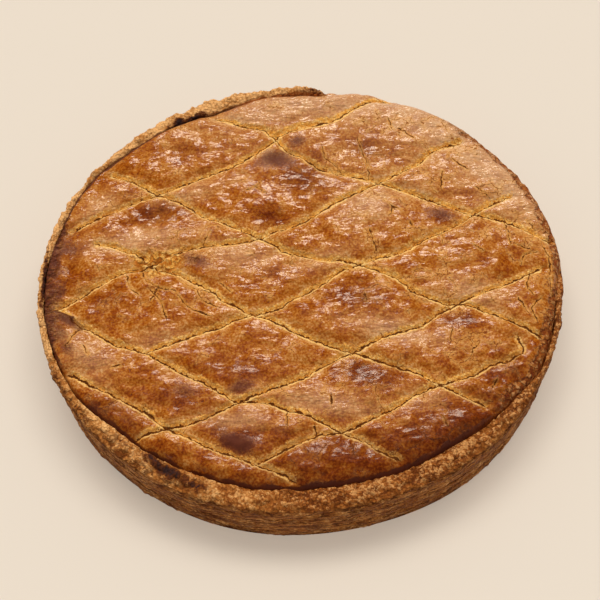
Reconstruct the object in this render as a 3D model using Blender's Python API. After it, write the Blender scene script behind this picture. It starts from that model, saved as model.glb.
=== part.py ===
"""Gateau basque: a whole round cake, baked in one piece and uncut.

Units are metres and +Z is up.  The origin is the centre of the flat underside.
Azimuth 0 is +X, and -90 degrees is the front, -Y.

The crust has a leaning wall and a crumbly rim.  The lid is a low dome that rests
inside the rim, except along the back right, where it covers the rim and rolls
over its edge.  The lid carries a lattice of scores, and bulges between them.
"""

import math

import bmesh
import bpy
from mathutils import Vector, noise
from mathutils.geometry import intersect_line_line_2d
from mathutils.kdtree import KDTree

NAME = "cake"
MM = 0.001

# Crust
RIM_RADIUS = 110.0 * MM         # at the lip, the outer edge of the rim
BASE_RADIUS = 105.6 * MM        # the wall leans in towards the base
BASE_EDGE = 1.2 * MM            # slope between the wall and the flat underside
RIM_LIP = 1.5 * MM              # the crown of the rim falls this far to the lip
RIM_FOOT = 1.4 * MM             # and this far to the lid
RIM_LEAST = 2.6 * MM            # width of the rim where it is narrowest
CREASE_DEPTH = 1.6 * MM         # the gap between the lid and the rim
TIN_WOBBLE = 0.8 * MM           # how far the outline is out of round
TIN_LOBES = 1.7                 # how often, as a radius in the noise that bends it
CRUMB = 0.9 * MM                # lumps on the rim
CRUMB_SIZE = 6.0 * MM
STRATA = 0.6 * MM               # level ridges in the wall
STRATA_RUN = 9.0                # their spacing along the wall and up it,
STRATA_RISE = 11.0              # as sizes in the noise that shapes them
RIM_RINGS = (0.05, 0.30, 0.70, 1.00)    # across the rim, from the lid to the lip
WALL_RINGS = (0.86, 0.58, 0.30, 0.08)   # heights, as parts of the lip's height

# Lid
DOME_TOP = 34.5 * MM
DOME_DROP = 3.0 * MM            # fall of the dome at DOME_REACH from its centre
DOME_REACH = 90.0 * MM
EDGE_ROLL = 8.5 * MM            # width of the rounded edge
EDGE_DROP = 6.0 * MM            # height of the rounded edge
WAVE = 0.8 * MM                 # slow unevenness of the top
WAVE_LENGTH = 35.0 * MM

# Scores
VALLEY_DEPTH = 2.4 * MM         # the lid sinks this far along a score
VALLEY_WIDTH = 4.0 * MM
CRACK_DEPTH = 1.2 * MM          # the crack at the bottom of the valley
ROUTE_STEP = 2.0 * MM

# Mesh
CELLS = 56                      # cells across the lid
CROWDING = 0.14                 # rows lie closer together towards the edge

# Sizes along the rim, as pairs of azimuth in degrees and millimetres.
RIM_HEIGHTS = ((-90, 26.5), (-30, 26.5), (10, 27.0), (70, 27.5), (84, 29.2),
               (125, 29.8), (165, 28.4), (200, 27.2))
LID_RADII = ((-154, 105.4), (-135, 101.2), (-110, 100.2), (-82, 99.0), (-58, 100.3),
             (-38, 103.6), (-27, 106.8), (-6, 106.6), (8, 111.5), (74, 111.5),
             (82, 106.6), (94, 105.4), (107, 102.8), (130, 104.2), (146, 107.0),
             (162, 106.3), (184, 107.0), (195, 106.2))
RIM_SHOWS = (80, 356)           # azimuths where the rim comes out from under the lid
RIM_FADE = 5                    # degrees over which it does so

# Control points of the scores, in millimetres, from the left to the right.
FALLING_SCORES = (
    ((-33, 93.5), (-12, 83), (-3, 71.5), (14, 58.5), (60, 38.5), (106, 15)),
    ((-79, 63.5), (-47, 43.5), (-17, 22.5), (5, 10), (30, 3), (53, -13.5), (97, -34)),
    ((-85, 25), (-64, 13.5), (-33, -9), (5, -32.5), (40, -48.5), (71, -66.5)),
    ((-103, -8), (-76, -28.5), (-30, -59), (-3, -66.5), (35, -89.5)),
    ((-97, -39.5), (-57, -69.5), (-6, -97)),
)
RISING_SCORES = (
    ((-7, 78.5), (12, 86.5), (30, 96.5), (45, 99.5)),
    ((-97.5, 33), (-60, 50.8), (-30, 62), (-7, 78.5)),
    ((-105, -8), (-66, 10), (-42, 19), (-14.5, 22.5), (20, 41), (58, 65), (73, 72)),
    ((-64.5, -33.5), (-33, -23), (-9, -15.5), (26, 5.5), (60, 20.5), (92, 40)),
    ((-71, -74), (-43, -67), (-8, -53), (25, -36), (45, -29), (64, -17), (100, 0)),
    ((-20, -89), (2, -78.5), (24, -71.5), (58, -55), (86, -43.5), (88, -35)),
)

CRUST_COLOUR = (0.50, 0.23, 0.055, 1.0)
CRUST_ROUGHNESS = 0.5
SHARP_ANGLE = 40.0              # degrees


def clear_scene():
    for obj in list(bpy.data.objects):
        bpy.data.objects.remove(obj, do_unlink=True)


def eased(part):
    part = min(1.0, max(0.0, part))
    return part * part * (3.0 - 2.0 * part)


def along_rim(places, azimuth):
    """A size along the rim, in metres, eased between the pairs of its table."""
    first = places[0][0]
    angle = first + (math.degrees(azimuth) - first) % 360.0
    ring = places + ((first + 360, places[0][1]),)
    for (a, low), (b, high) in zip(ring, ring[1:]):
        if a <= angle <= b:
            return MM * (low + (high - low) * eased((angle - a) / (b - a)))
    return MM * places[0][1]


def rim_shows(azimuth):
    """1 where the rim stands free of the lid, and 0 where the lid covers it."""
    start, end = RIM_SHOWS
    angle = start + (math.degrees(azimuth) - start) % 360.0
    return eased((angle - start) / RIM_FADE) * eased((end - angle) / RIM_FADE)


def turned(azimuth, radius, height=0.0):
    return Vector((radius * math.cos(azimuth), radius * math.sin(azimuth), height))


def lip_radius(azimuth):
    return RIM_RADIUS + TIN_WOBBLE * noise.noise(turned(azimuth, TIN_LOBES))


def lid_radius(azimuth):
    return min(along_rim(LID_RADII, azimuth), lip_radius(azimuth) - RIM_LEAST)


def smooth_route(controls):
    """Evenly spaced points, in metres, on a smooth curve through the controls."""
    knots = [Vector((x * MM, y * MM)) for x, y in controls]
    ends = [knots[0] * 2.0 - knots[1]] + knots + [knots[-1] * 2.0 - knots[-2]]
    route = [knots[0]]
    for a, b, c, d in zip(ends, ends[1:], ends[2:], ends[3:]):
        steps = max(1, round((c - b).length / ROUTE_STEP))
        for step in range(1, steps + 1):
            t = step / steps
            route.append(0.5 * (2.0 * b + (c - a) * t
                                + (2.0 * a - 5.0 * b + 4.0 * c - d) * t ** 2
                                + (3.0 * b - 3.0 * c + d - a) * t ** 3))
    return route


def nearest_on(routes):
    """A tree that finds the distance from a place to the nearest point of the routes."""
    points = [point.to_3d() for route in routes for point in route]
    tree = KDTree(len(points))
    for number, point in enumerate(points):
        tree.insert(point, number)
    tree.balance()
    return tree


def lid_height(place, scores):
    """Height of the lid over a place in its plan: dome, bulges and rounded edge."""
    radius = place.length
    height = DOME_TOP - DOME_DROP * (radius / DOME_REACH) ** 2
    height += WAVE * noise.noise(place / WAVE_LENGTH)
    distance = scores.find(place)[2]
    height -= VALLEY_DEPTH / (1.0 + (distance / VALLEY_WIDTH) ** 2)
    if distance < 0.5 * ROUTE_STEP:
        height -= CRACK_DEPTH
    edge = along_rim(LID_RADII, math.atan2(place.y, place.x))
    roll = min(1.0, max(0.0, (radius - edge + EDGE_ROLL) / EDGE_ROLL))
    return height - EDGE_DROP * (1.0 - math.sqrt(1.0 - roll * roll))


def rim_place(azimuth, across, scores):
    """A point on the rim, across it from the lid, 0, to the lip, 1."""
    inner, outer = lid_radius(azimuth), lip_radius(azimuth)
    place = turned(azimuth, inner + (outer - inner) * across)
    crown = along_rim(RIM_HEIGHTS, azimuth) + CRUMB * noise.noise(place / CRUMB_SIZE)
    middle = 0.5
    fall = RIM_LIP if across > middle else RIM_FOOT
    crown -= fall * ((across - middle) / middle) ** 2
    if across == RIM_RINGS[0]:
        crown -= CREASE_DEPTH
    shows = rim_shows(azimuth)
    covered = lid_height(place, scores) if shows < 1.0 else 0.0
    place.z = crown * shows + covered * (1.0 - shows)
    return place


def wall_place(azimuth, part, lip_height):
    """A point on the wall, at a part of the lip's height over the underside."""
    radius = lip_radius(azimuth) - (RIM_RADIUS - BASE_RADIUS) * (1.0 - part)
    if part == 0.0:
        return turned(azimuth, radius - BASE_EDGE)
    ridge = noise.noise(turned(azimuth, STRATA_RUN, part * STRATA_RISE))
    return turned(azimuth, radius + STRATA * (ridge - 0.5), lip_height * part)


def round_sheet(form):
    """A square grid, bent into a disc the size of the lid."""
    bmesh.ops.create_grid(form, x_segments=CELLS, y_segments=CELLS, size=1.0)
    for vertex in form.verts:
        u, v = vertex.co.x, vertex.co.y
        x = u * math.sqrt(1.0 - 0.5 * v * v)
        y = v * math.sqrt(1.0 - 0.5 * u * u)
        azimuth = math.atan2(y, x)
        part = math.hypot(x, y)
        part = part * (1.0 + CROWDING) - CROWDING * part ** 3
        vertex.co = turned(azimuth, part * lid_radius(azimuth))


def crossings(form, route):
    """Where the edges of the flat sheet cross a route, the closest to an end first."""
    found = []
    near = nearest_on([route])
    reach = 2.0 * ROUTE_STEP
    for edge in form.edges:
        a, b = edge.verts
        for _, number, _ in near.find_range((a.co + b.co) / 2.0, reach):
            if number + 1 == len(route):
                continue
            hit = intersect_line_line_2d(a.co.xy, b.co.xy, route[number], route[number + 1])
            if hit:
                close, far = sorted((a, b), key=lambda end: (end.co.xy - hit).length)
                found.append(((close.co.xy - hit).length, close, far, hit))
    return sorted(found, key=lambda item: item[0])


def draw_on_sheet(form, routes):
    """Moves vertices of the flat sheet on to the routes, so that edges follow them."""
    on_routes = set()
    for route in routes:
        here = set()
        for _, close, far, hit in crossings(form, route):
            if close in here or far in here:
                continue
            mover = far if close in on_routes else close
            if mover not in on_routes and not mover.is_boundary:
                mover.co.xy = hit
            here.add(mover)
        on_routes |= here
    return on_routes


def split_cells(form, on_routes):
    """Splits each cell along the diagonal that follows a route, or the shorter one."""
    for face in list(form.faces):
        a, b, c, d = face.verts
        drawn = (a in on_routes and c in on_routes) - (b in on_routes and d in on_routes)
        shorter = (a.co - c.co).length <= (b.co - d.co).length
        if drawn > 0 or (drawn == 0 and shorter):
            bmesh.utils.face_split(face, a, c)
        else:
            bmesh.utils.face_split(face, b, d)


def add_ring(form, edges, placed):
    """Extrudes the open edge of the sheet and puts each new vertex where it belongs."""
    grown = bmesh.ops.extrude_edge_only(form, edges=edges)["geom"]
    for item in grown:
        if isinstance(item, bmesh.types.BMVert):
            item.co = placed(math.atan2(item.co.y, item.co.x))
    return [item for item in grown if isinstance(item, bmesh.types.BMEdge)]


def cake_mesh():
    form = bmesh.new()
    round_sheet(form)
    routes = [smooth_route(score) for score in FALLING_SCORES + RISING_SCORES]
    scores = nearest_on(routes)
    split_cells(form, draw_on_sheet(form, routes))
    open_edge = [edge for edge in form.edges if edge.is_boundary]
    for vertex in form.verts:
        vertex.co.z = lid_height(vertex.co.copy(), scores)
    for across in RIM_RINGS:
        open_edge = add_ring(form, open_edge, lambda a: rim_place(a, across, scores))
    for part in WALL_RINGS + (0.0,):
        open_edge = add_ring(form, open_edge,
                             lambda a: wall_place(a, part, rim_place(a, 1.0, scores).z))
    base = bmesh.ops.edgeloop_fill(form, edges=open_edge)["faces"]
    bmesh.ops.poke(form, faces=base)
    bmesh.ops.recalc_face_normals(form, faces=form.faces)
    mesh = bpy.data.meshes.new(NAME)
    form.to_mesh(mesh)
    form.free()
    return mesh


def crust_material():
    material = bpy.data.materials.new("baked crust")
    material.use_nodes = True
    shader = material.node_tree.nodes["Principled BSDF"]
    shader.inputs["Base Color"].default_value = CRUST_COLOUR
    shader.inputs["Roughness"].default_value = CRUST_ROUGHNESS
    shader.inputs["Metallic"].default_value = 0.0
    material.diffuse_color = CRUST_COLOUR
    return material


def build():
    clear_scene()
    parts = bpy.data.collections.new("gateau_basque")
    bpy.context.scene.collection.children.link(parts)
    cake = bpy.data.objects.new(NAME, cake_mesh())
    parts.objects.link(cake)
    cake.data.materials.append(crust_material())
    cake.data.shade_smooth()
    cake.data.set_sharp_from_angle(angle=math.radians(SHARP_ANGLE))


build()
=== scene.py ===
"""Gateau basque: the looks of a whole round cake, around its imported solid.

The tables are in millimetres, and meshes become metres when they are written.  The
origin is the centre of the flat underside, +Z is up, and azimuth -90 degrees is the
front.  Two shells replace the solid: the crust, a cup with a crumbly rim, and the
glazed lid that rests in it.  Each is a grid that is cut, extruded, joined and closed in
edit mode, and whose points are pressed into shape.
"""
import math
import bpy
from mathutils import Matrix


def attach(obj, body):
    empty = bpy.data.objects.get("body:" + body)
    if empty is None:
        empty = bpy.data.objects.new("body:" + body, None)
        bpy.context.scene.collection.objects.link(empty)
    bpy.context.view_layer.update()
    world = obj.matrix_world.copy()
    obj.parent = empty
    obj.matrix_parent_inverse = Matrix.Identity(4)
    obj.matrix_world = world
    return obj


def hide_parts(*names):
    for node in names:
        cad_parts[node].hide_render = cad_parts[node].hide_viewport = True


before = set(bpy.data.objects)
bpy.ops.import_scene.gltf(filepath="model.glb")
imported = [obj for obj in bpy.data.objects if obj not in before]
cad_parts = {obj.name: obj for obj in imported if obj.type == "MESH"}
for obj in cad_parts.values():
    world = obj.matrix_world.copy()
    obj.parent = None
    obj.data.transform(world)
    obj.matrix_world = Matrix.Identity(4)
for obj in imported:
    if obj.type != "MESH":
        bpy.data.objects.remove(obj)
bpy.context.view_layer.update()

from types import SimpleNamespace

import bpy
import numpy as np
from mathutils import Matrix, Vector, noise
from mathutils.kdtree import KDTree

MM = 0.001

# The solid's own form, as in its source.
RIM_RADIUS = 110.0
BASE_RADIUS = 105.6
BASE_EDGE = 1.2
RIM_LIP = 1.5
RIM_LEAST = 2.6
TIN_WOBBLE = 0.8
TIN_LOBES = 1.7
CRUMB = 0.9
CRUMB_SIZE = 6.0
DOME_TOP = 34.5
DOME_DROP = 3.0
DOME_REACH = 90.0
EDGE_ROLL = 8.5
WAVE = 0.8
WAVE_LENGTH = 35.0
VALLEY_DEPTH = 2.4
VALLEY_WIDTH = 4.0

# The lid's shell.
LID_CELLS = 244        # cells across it, before those beside the scores are split
CROWDING = 0.14        # how much the cells crowd together towards the edge
SPLIT_REACH = 1.45     # how far from a score the cells are split
ROUTE_STEP = 0.3
SCORE_DEPTH = 0.55     # of the narrow valley inside each score's wide one
SCORE_WIDTH = 1.7
SPOT_FADE = 1.3        # how quickly a spot fades from its middle
# Drop and spread of each ring of the skirt below the edge, and all its drops together.
LID_SKIRT = ((-0.8, 1.003), (-1.2, 1.001), (-1.5, 0.998), (-2.0, 0.99), (-3.0, 0.985))
SKIRT_DEPTH = 8.5
LID_SEAT = 24.0        # height of the underside

# The crust's shell.
RIM_STEPS = 1180       # points round it
LID_GAP = 0.7          # between the lid and the rim
INNER_LIP = 0.7        # how far the rim's top falls towards the lid
RIM_NARROWEST = 2.0
HIDDEN_WIDTH = 4.0     # of the rim under the lid's overhang
HIDDEN_DROP = 4.2      # how much lower the rim lies there
HIDDEN_INSET = 1.0
CUP_FLOOR = 14.0       # height of the floor inside, under the lid
CUP_RADIUS = 98.0
CORE_RADIUS = 104.0    # crumb is pushed out from a ring of this radius and height
CORE_HEIGHT = 22.0
UNDERSIDE = 104.0      # radius of the flat underside

# Azimuth in degrees and millimetres.
RIM_HEIGHTS = ((-90, 26.5), (-30, 26.5), (10, 27.0), (70, 27.5), (84, 29.2),
               (125, 29.8), (165, 28.4), (200, 27.2))
LID_RADII = ((-154, 105.4), (-135, 101.2), (-110, 100.2), (-82, 99.0), (-58, 100.3),
             (-38, 103.6), (-27, 106.8), (-6, 106.6), (8, 111.5), (74, 111.5),
             (82, 106.6), (94, 105.4), (107, 102.8), (130, 104.2), (146, 107.0),
             (162, 106.3), (184, 107.0), (195, 106.2))
EDGE_DROPS = ((-90, 4.8), (-35, 4.2), (0, 5.5), (78, 6.0), (100, 2.0), (150, 0.9),
              (180, 1.1), (205, 4.0), (235, 6.0))
RIM_SHOWS = (80.0, 356.0)   # azimuths between which the lid leaves the rim bare
RIM_FADE = 5.0

# Scores from the back to the front, each from left to right.
FALLING_SCORES = (
    ((-33, 93.5), (-27, 91), (-20, 87), (-13, 85), (-10, 81.5), (-7, 78), (-3, 71.5),
     (3, 67.5), (10, 61), (15, 58), (25, 54.5), (36, 50), (45, 46), (50, 43.5),
     (60, 38.5), (68, 34), (75, 30.2), (80, 29), (88, 26), (95, 22.5), (106, 15)),
    ((-79, 63.5), (-72, 60), (-65, 55), (-59.5, 50.5), (-55, 48.5), (-47, 43.5),
     (-40, 36.5), (-32, 32), (-25, 27.5), (-17, 22.5), (-10, 18), (-6, 14.5), (0, 12),
     (10, 8.5), (20, 7), (30, 3), (36, 0), (42, -4), (46, -9), (51, -12), (60, -16),
     (68, -17), (76, -21), (82, -24.5), (88, -28), (97, -34)),
    ((-85, 25), (-78, 23), (-73, 20), (-68, 17.5), (-65, 14.5), (-63, 11.5),
     (-50, 4.5), (-45, 1), (-36, -5), (-33, -9), (-26, -14), (-22, -17), (-13, -21),
     (-3, -28), (5, -32.5), (15, -37), (25, -41), (35, -46), (40, -48.5), (46, -51),
     (54, -56.5), (62, -61), (71, -66.5)),
    ((-103, -8), (-98, -10.5), (-92, -17), (-88, -19), (-82, -24), (-76, -28.5),
     (-64.5, -33.5), (-60, -37), (-53, -42), (-47, -46), (-42, -49), (-37, -53),
     (-32, -57), (-28, -60), (-22, -60.5), (-14, -62), (-9, -65), (-3, -66.5),
     (5, -71), (13, -76.5), (18, -79), (23, -81.5), (28, -86), (35, -89.5)),
    ((-97, -39.5), (-93, -41.5), (-88, -46), (-82, -49.5), (-76, -53.5), (-70, -58),
     (-64, -62), (-60, -66), (-57, -69.5), (-47, -75), (-41, -79), (-33, -83),
     (-27, -86), (-21, -89.5), (-15, -92), (-6, -97)),
)
RISING_SCORES = (
    ((-7, 79), (0, 83.5), (10, 86), (18, 88), (24, 92), (30, 96.5), (36, 99.5),
     (43, 99.5)),
    ((-97.5, 33), (-90, 37), (-82, 41), (-70, 47), (-62, 49.8), (-50, 54), (-40, 58.5),
     (-30, 62), (-22, 66.5), (-14, 72), (-7, 78)),
    ((-105, -8), (-99, -6.5), (-93, -3), (-88, 0.5), (-80, 5.5), (-72, 9), (-65, 10),
     (-54, 16), (-42, 19), (-30, 19.5), (-22, 20.5), (-14.5, 22.5), (-10, 25),
     (0, 28), (7, 32), (12, 36), (20, 41), (27, 45), (36, 50), (42, 53), (50, 58),
     (55, 61), (62, 68), (73, 72)),
    ((-64.5, -33.5), (-60, -31.5), (-52, -29), (-46, -26.5), (-40, -24.5), (-33, -23),
     (-28, -20), (-18, -17.5), (-9, -15.5), (-5, -12), (0, -9), (8, -4.5), (14, 0),
     (18, 2.5), (26, 5.5), (32, 8), (40, 10), (47, 13), (53, 17), (60, 20.5),
     (68, 24.5), (75, 30), (80, 33.5), (92, 40)),
    ((-71, -74), (-66, -72), (-56.5, -70), (-50, -69), (-43, -67), (-36, -64),
     (-30, -61.5), (-22, -58.5), (-15, -55.5), (-8, -53), (0, -50), (5, -46.5),
     (10, -43.5), (15, -40.5), (20.5, -39), (25, -36), (30, -33.5), (36, -31),
     (47, -28), (54, -23), (57, -20), (64, -17), (72, -13), (78, -10.5), (84, -8),
     (90, -5), (100, 0)),
    ((-20, -89), (-14, -86), (-8, -82.5), (0, -79), (5, -77.5), (13, -76.5), (20, -74),
     (25, -71), (30, -69), (37, -65.5), (42, -62), (48, -59), (58, -55), (63, -53.5),
     (70, -51), (75, -48), (82, -46), (86, -43.5), (89.5, -41), (88, -35)),
)
CRACKS = (
    ((13, 71), (14, 65), (17, 62), (20, 57)), ((29, 75), (30, 68), (32, 60), (32, 52)),
    ((43, 86), (44, 81)), ((47, 80), (50, 77), (53, 74)),
    ((69, 61), (71, 58.5), (75, 55)), ((68, 66), (67, 62)), ((64, 54), (63, 45)),
    ((31, 23), (32, 15), (33, 12)), ((48, 26), (49.5, 22)),
    ((38, 39), (41, 35), (40, 31)), ((41, 35), (45, 33)),
    ((88, 27), (89, 20), (89.5, 12)), ((92, 12), (97, 9.5)),
    ((100, 8), (95, 7), (93, 3)), ((74, 12), (77, 9)), ((61, 20), (61, 15)),
    ((-40, 20), (-37, 26)), ((-49, -10), (-44, -15), (-38, -18)),
    ((-62, -3), (-58, -10), (-56, -17)), ((-97, -27), (-94.5, -22), (-91, -18)),
    ((-90, -28), (-88, -33)), ((-78, -40), (-75, -39.5)),
    ((26.5, -11), (27, -15)), ((61, -31), (60, -36)), ((71, -38), (68, -43)),
    ((54, -73), (55, -76)), ((77, -55), (75, -59)), ((10, -61), (10, -64)),
    ((-17, 50), (-13, 46)), ((-15, 52), (-17, 50), (-21, 48)),
    ((103, 12), (105, 4), (104, -10), (105, -20), (103, -33)),
    ((96, -2), (94, -9), (96, -14)), ((99, -16), (95, -21), (96, -27)),
    ((90, -16), (93, -23)), ((98, 26), (101, 20), (99, 15)), ((78, 44), (82, 40)),
    ((-8, -66), (-8, -73)), ((3, -74), (3, -78)),
    ((-66, 8), (-64, 2), (-59, -2), (-53, -4), (-49, -10)), ((-59, -2), (-62, -8)),
    ((-53, 7), (-49, 1), (-43, -3), (-37, -5)), ((-43, -3), (-41, -9), (-35, -13)),
    ((-72, 6), (-71, 0), (-67, -5)), ((-33, -1), (-29, -6)),
)
BURNT_LIP = ((-103.5, -8.2), (-99, -10.2), (-95, -12.8))

# Spots: x, y, half-length, half-width, turn in degrees, strength.
BURNT_SPOTS = (
    (-27, -80, 10, 5, -28, 1.0), (-26, -54, 8, 5, 20, 0.75), (-8, 66, 11, 8, 0, 0.85),
    (3, 76, 5, 4, 0, 0.7), (61, 31, 11, 4.5, -28, 0.65), (-43, 11, 12, 6, -25, 0.65),
    (-48, -54, 9, 5, -20, 0.6), (-48, 48, 6, 3, 0, 0.35), (-28, 84, 5, 3, 0, 0.4),
    (62, -20, 5, 3, 30, 0.4), (-97, -14, 9, 3.5, -38, 0.95), (-97, -28, 7, 4, -60, 0.6),
    (-84, -58, 12, 3, -48, 0.5), (-71, -66, 9, 3, -45, 0.4), (-5, -92, 9, 3, 0, 0.3),
    (-72, 76, 20, 3, 47, 0.35), (-95, 50, 14, 3, 62, 0.4),
)
# The long spot at (20, -88) darkens the whole front of the lid.
BROWN_SPOTS = (
    (4, 54, 15, 12, -30, 0.8), (-12, 33, 11, 7, -20, 0.8), (-62, 40, 19, 9, 3, 0.75),
    (-45, 74, 12, 8, 15, 0.6), (32, 70, 18, 9, -15, 0.6), (22, -12, 18, 9, -10, 0.7),
    (25, -50, 18, 8, -10, 0.9), (-52, -58, 24, 8, -25, 0.6), (-28, -76, 18, 7, -15, 0.7),
    (62, 28, 12, 6, -15, 0.6), (-82, -6, 16, 9, -15, 0.5), (-28, -44, 20, 10, -5, 0.6),
    (64, -25, 11, 6, -10, 0.8), (20, -88, 80, 20, 5, 0.75), (74, -62, 38, 14, 42, 0.6),
    (-75, -62, 26, 8, -42, 0.6), (82, 4, 12, 8, 0, 0.3), (-12, 2, 9, 5, -10, 0.4),
    (50, -80, 22, 8, 30, 0.5), (-95, 18, 20, 6, 85, 0.6), (85, -40, 14, 8, 50, 0.3),
)
# Where the skin is paler, ripples more, and carries painted sheen.
PALE_PAINTED_SHEEN_SPOTS = (
    (15, 98, 45, 9, -8, 0.8), (62, 82, 34, 12, -40, 0.9), (92, 46, 26, 12, -62, 0.9),
    (32, 38, 14, 10, 20, 0.9), (-68, 25, 24, 7, 5, 0.9), (-25, 13, 16, 9, -15, 0.7),
    (72, -12, 14, 7, -15, 0.8), (38, -30, 20, 6, -18, 0.9), (8, -63, 22, 6, -15, 0.8),
    (-28, -69, 16, 5, -5, 0.8), (-88, -33, 14, 8, -50, 0.7), (48, -62, 12, 5, 0, 0.5),
    (10, 8, 16, 5, 20, 0.5), (-45, 50, 20, 6, 20, 0.5), (82, 60, 16, 12, -50, 0.7),
    (-85, 45, 12, 7, 45, 0.6), (-15, 92, 20, 6, 0, 0.6), (-60, -28, 14, 5, 10, 0.4),
)
RIM_CHAR = (
    (-50, 91.5, 4, 2.5, 30, 1.0), (-43, 94.5, 7, 2.0, 25, 0.9),
    (-20, 100, 26, 2.2, 15, 0.8), (5, 103, 12, 1.8, 5, 0.7), (-75, -73, 7, 2, -45, 0.4),
    (-63, -81.5, 6, 2.6, -38, 0.7), (-56, -88.3, 9, 3.2, -32, 1.0),
    (-45, -96, 7, 2.8, -25, 0.7), (15, 107, 7, 4, 0, 0.5), (-102, -40, 12, 2, -65, 0.5),
    (-107.2, 10, 20, 1.3, 86, 0.85),
)
WIDE_SCORES = ((18, 88, 26, 5, 12, 1.0), (10, 84, 12, 5, 0, 0.6), (-78, 66, 9, 5, 0, 0.5))
WRINKLES = ((-60, 37, 18, 9, 25, 1.0), (78, -60, 16, 9, 45, 0.8), (-8, 3, 16, 7, 10, 0.5),
            (20, -22, 18, 10, -20, 0.6))
# Lozenges that sank: the same, with a depth in place of the strength.
DIPS = (
    (-61, 40, 19, 11, 3, 1.9), (16, -8, 22, 12, -8, 1.7), (22, -44, 20, 10, -8, 1.4),
    (62, -21, 13, 8, -12, 1.5), (3, 55, 20, 12, -15, 1.6), (-30, -71, 18, 8, -15, 1.2),
    (-12, 8, 18, 9, -5, 1.3), (66, -60, 18, 9, 35, 0.3), (-30, -36, 24, 12, -12, 1.1),
    (30, 70, 20, 9, -20, 1.2), (-48, 75, 18, 8, 15, 1.1), (56, 36, 16, 8, -10, 1.1),
)
PATCH = (-59.0, 12.0, 14.0, 8.0)   # torn crumb at a crossing: x, y and half-sizes


# ------------------------------------------------------------------ numbers

def eased(part):
    part = np.clip(part, 0.0, 1.0)
    return part * part * (3.0 - 2.0 * part)


def between(low, high, value):
    """0 at low and 1 at high, eased from one to the other; low may be the larger."""
    return eased((value - low) / (high - low))


def arc(azimuth, start, full, waning, end):
    """1 along an arc of azimuths, eased in from start to full and out to its end."""
    return between(start, full, azimuth) * between(end, waning, azimuth)


def around(table, azimuth):
    """A size along the rim, eased between the pairs of its table."""
    first = table[0][0]
    turns = np.array([a for a, _ in table] + [first + 360.0])
    sizes = np.array([size for _, size in table] + [table[0][1]])
    angle = first + np.mod(azimuth - first, 360.0)
    k = np.clip(np.searchsorted(turns, angle, side="right") - 1, 0, len(table) - 1)
    return sizes[k] + (sizes[k + 1] - sizes[k]) * eased((angle - turns[k])
                                                        / (turns[k + 1] - turns[k]))


def rim_shows(azimuth):
    """1 where the rim is bare, 0 where the lid hangs over it."""
    start, end = RIM_SHOWS
    angle = start + np.mod(azimuth - start, 360.0)
    return eased((angle - start) / RIM_FADE) * eased((end - angle) / RIM_FADE)


LIP_TURNS = np.linspace(-180.0, 180.0, 1441)
LIP_SIZES = np.array([RIM_RADIUS + TIN_WOBBLE * noise.noise(
    TIN_LOBES * Vector((math.cos(math.radians(a)), math.sin(math.radians(a)), 0.0)))
    for a in LIP_TURNS])


def lip_radius(azimuth):
    return np.interp(np.mod(azimuth + 180.0, 360.0) - 180.0, LIP_TURNS, LIP_SIZES)


def lid_radius(azimuth):
    """Where the lid meets the rim, or hangs over it."""
    inside = np.minimum(around(LID_RADII, azimuth), lip_radius(azimuth) - RIM_LEAST)
    shows = rim_shows(azimuth)
    return inside * shows + (lip_radius(azimuth) + 0.2) * (1.0 - shows)


def turned(azimuth, radius, height):
    """Places at an azimuth, a radius and a height."""
    angle = np.radians(azimuth)
    return np.stack([radius * np.cos(angle), radius * np.sin(angle),
                     height + 0.0 * angle], axis=-1)


def azimuth_of(places):
    return np.degrees(np.arctan2(places[:, 1], places[:, 0]))


def field_start(shift):
    """Where a noise field starts, so that each use has a part of its own."""
    return Vector((shift, 1.7 * shift, 2.3 * shift))


def lumps(places, size, octaves, shift):
    """Random unevenness of a size, about -1 to 1, at places in millimetres."""
    start = field_start(shift)
    return np.array([noise.fractal(Vector(p) + start, 1.0, 2.0, octaves)
                     for p in places / np.asarray(size, float)])


def grains(places, size, shift):
    """Distance to the nearest grain of crumb, in parts of the grains' size."""
    start = field_start(shift)
    return np.array([noise.voronoi(Vector(p) + start)[0][0]
                     for p in places / np.asarray(size, float)])


def smooth_route(controls):
    """Points along a curve through the controls, about ROUTE_STEP apart."""
    knots = [Vector(c) for c in controls]
    ends = [knots[0] * 2.0 - knots[1]] + knots + [knots[-1] * 2.0 - knots[-2]]
    route = [knots[0]]
    for a, b, c, d in zip(ends, ends[1:], ends[2:], ends[3:]):
        steps = max(1, round((c - b).length / ROUTE_STEP))
        for k in range(1, steps + 1):
            t = k / steps
            route.append(0.5 * (2.0 * b + (c - a) * t
                                + (2.0 * a - 5.0 * b + 4.0 * c - d) * t ** 2
                                + (3.0 * b - 3.0 * c + d - a) * t ** 3))
    return route


def across_routes(places, tables):
    """Signed and plain distance from each place to the nearest of some routes, seen from
    above, and how far the nearest point lies from the ends of its route."""
    points, ways, ends = [], [], []
    for table in tables:
        route = smooth_route(table)
        last = len(route) - 1
        for k, point in enumerate(route):
            way = route[min(k + 1, last)] - route[max(k - 1, 0)]
            points.append(point)
            ways.append(way.normalized())
            ends.append(ROUTE_STEP * min(k, last - k))
    tree = KDTree(len(points))
    for k, point in enumerate(points):
        tree.insert(point.to_3d(), k)
    tree.balance()
    plan = places[:, :2]
    found = [tree.find((x, y, 0.0)) for x, y in plan]
    number = np.array([f[1] for f in found])
    plain = np.array([f[2] for f in found])
    points, ways = np.array(points), np.array(ways)
    off = plan - points[number]
    side = ways[number, 0] * off[:, 1] - ways[number, 1] * off[:, 0]
    return np.copysign(plain, side), plain, np.array(ends)[number]


def spots(places, table, ragged=0.0):
    """How strongly spots of a table cover each place, 0 to 1."""
    left = np.ones(len(places))
    for x, y, long, wide, turn, strength in table:
        c, s = math.cos(math.radians(turn)), math.sin(math.radians(turn))
        u = ((places[:, 0] - x) * c + (places[:, 1] - y) * s) / long
        v = ((places[:, 1] - y) * c - (places[:, 0] - x) * s) / wide
        left *= 1.0 - strength * np.exp(-SPOT_FADE * (u * u + v * v) * (1.0 + ragged))
    return 1.0 - left


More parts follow.
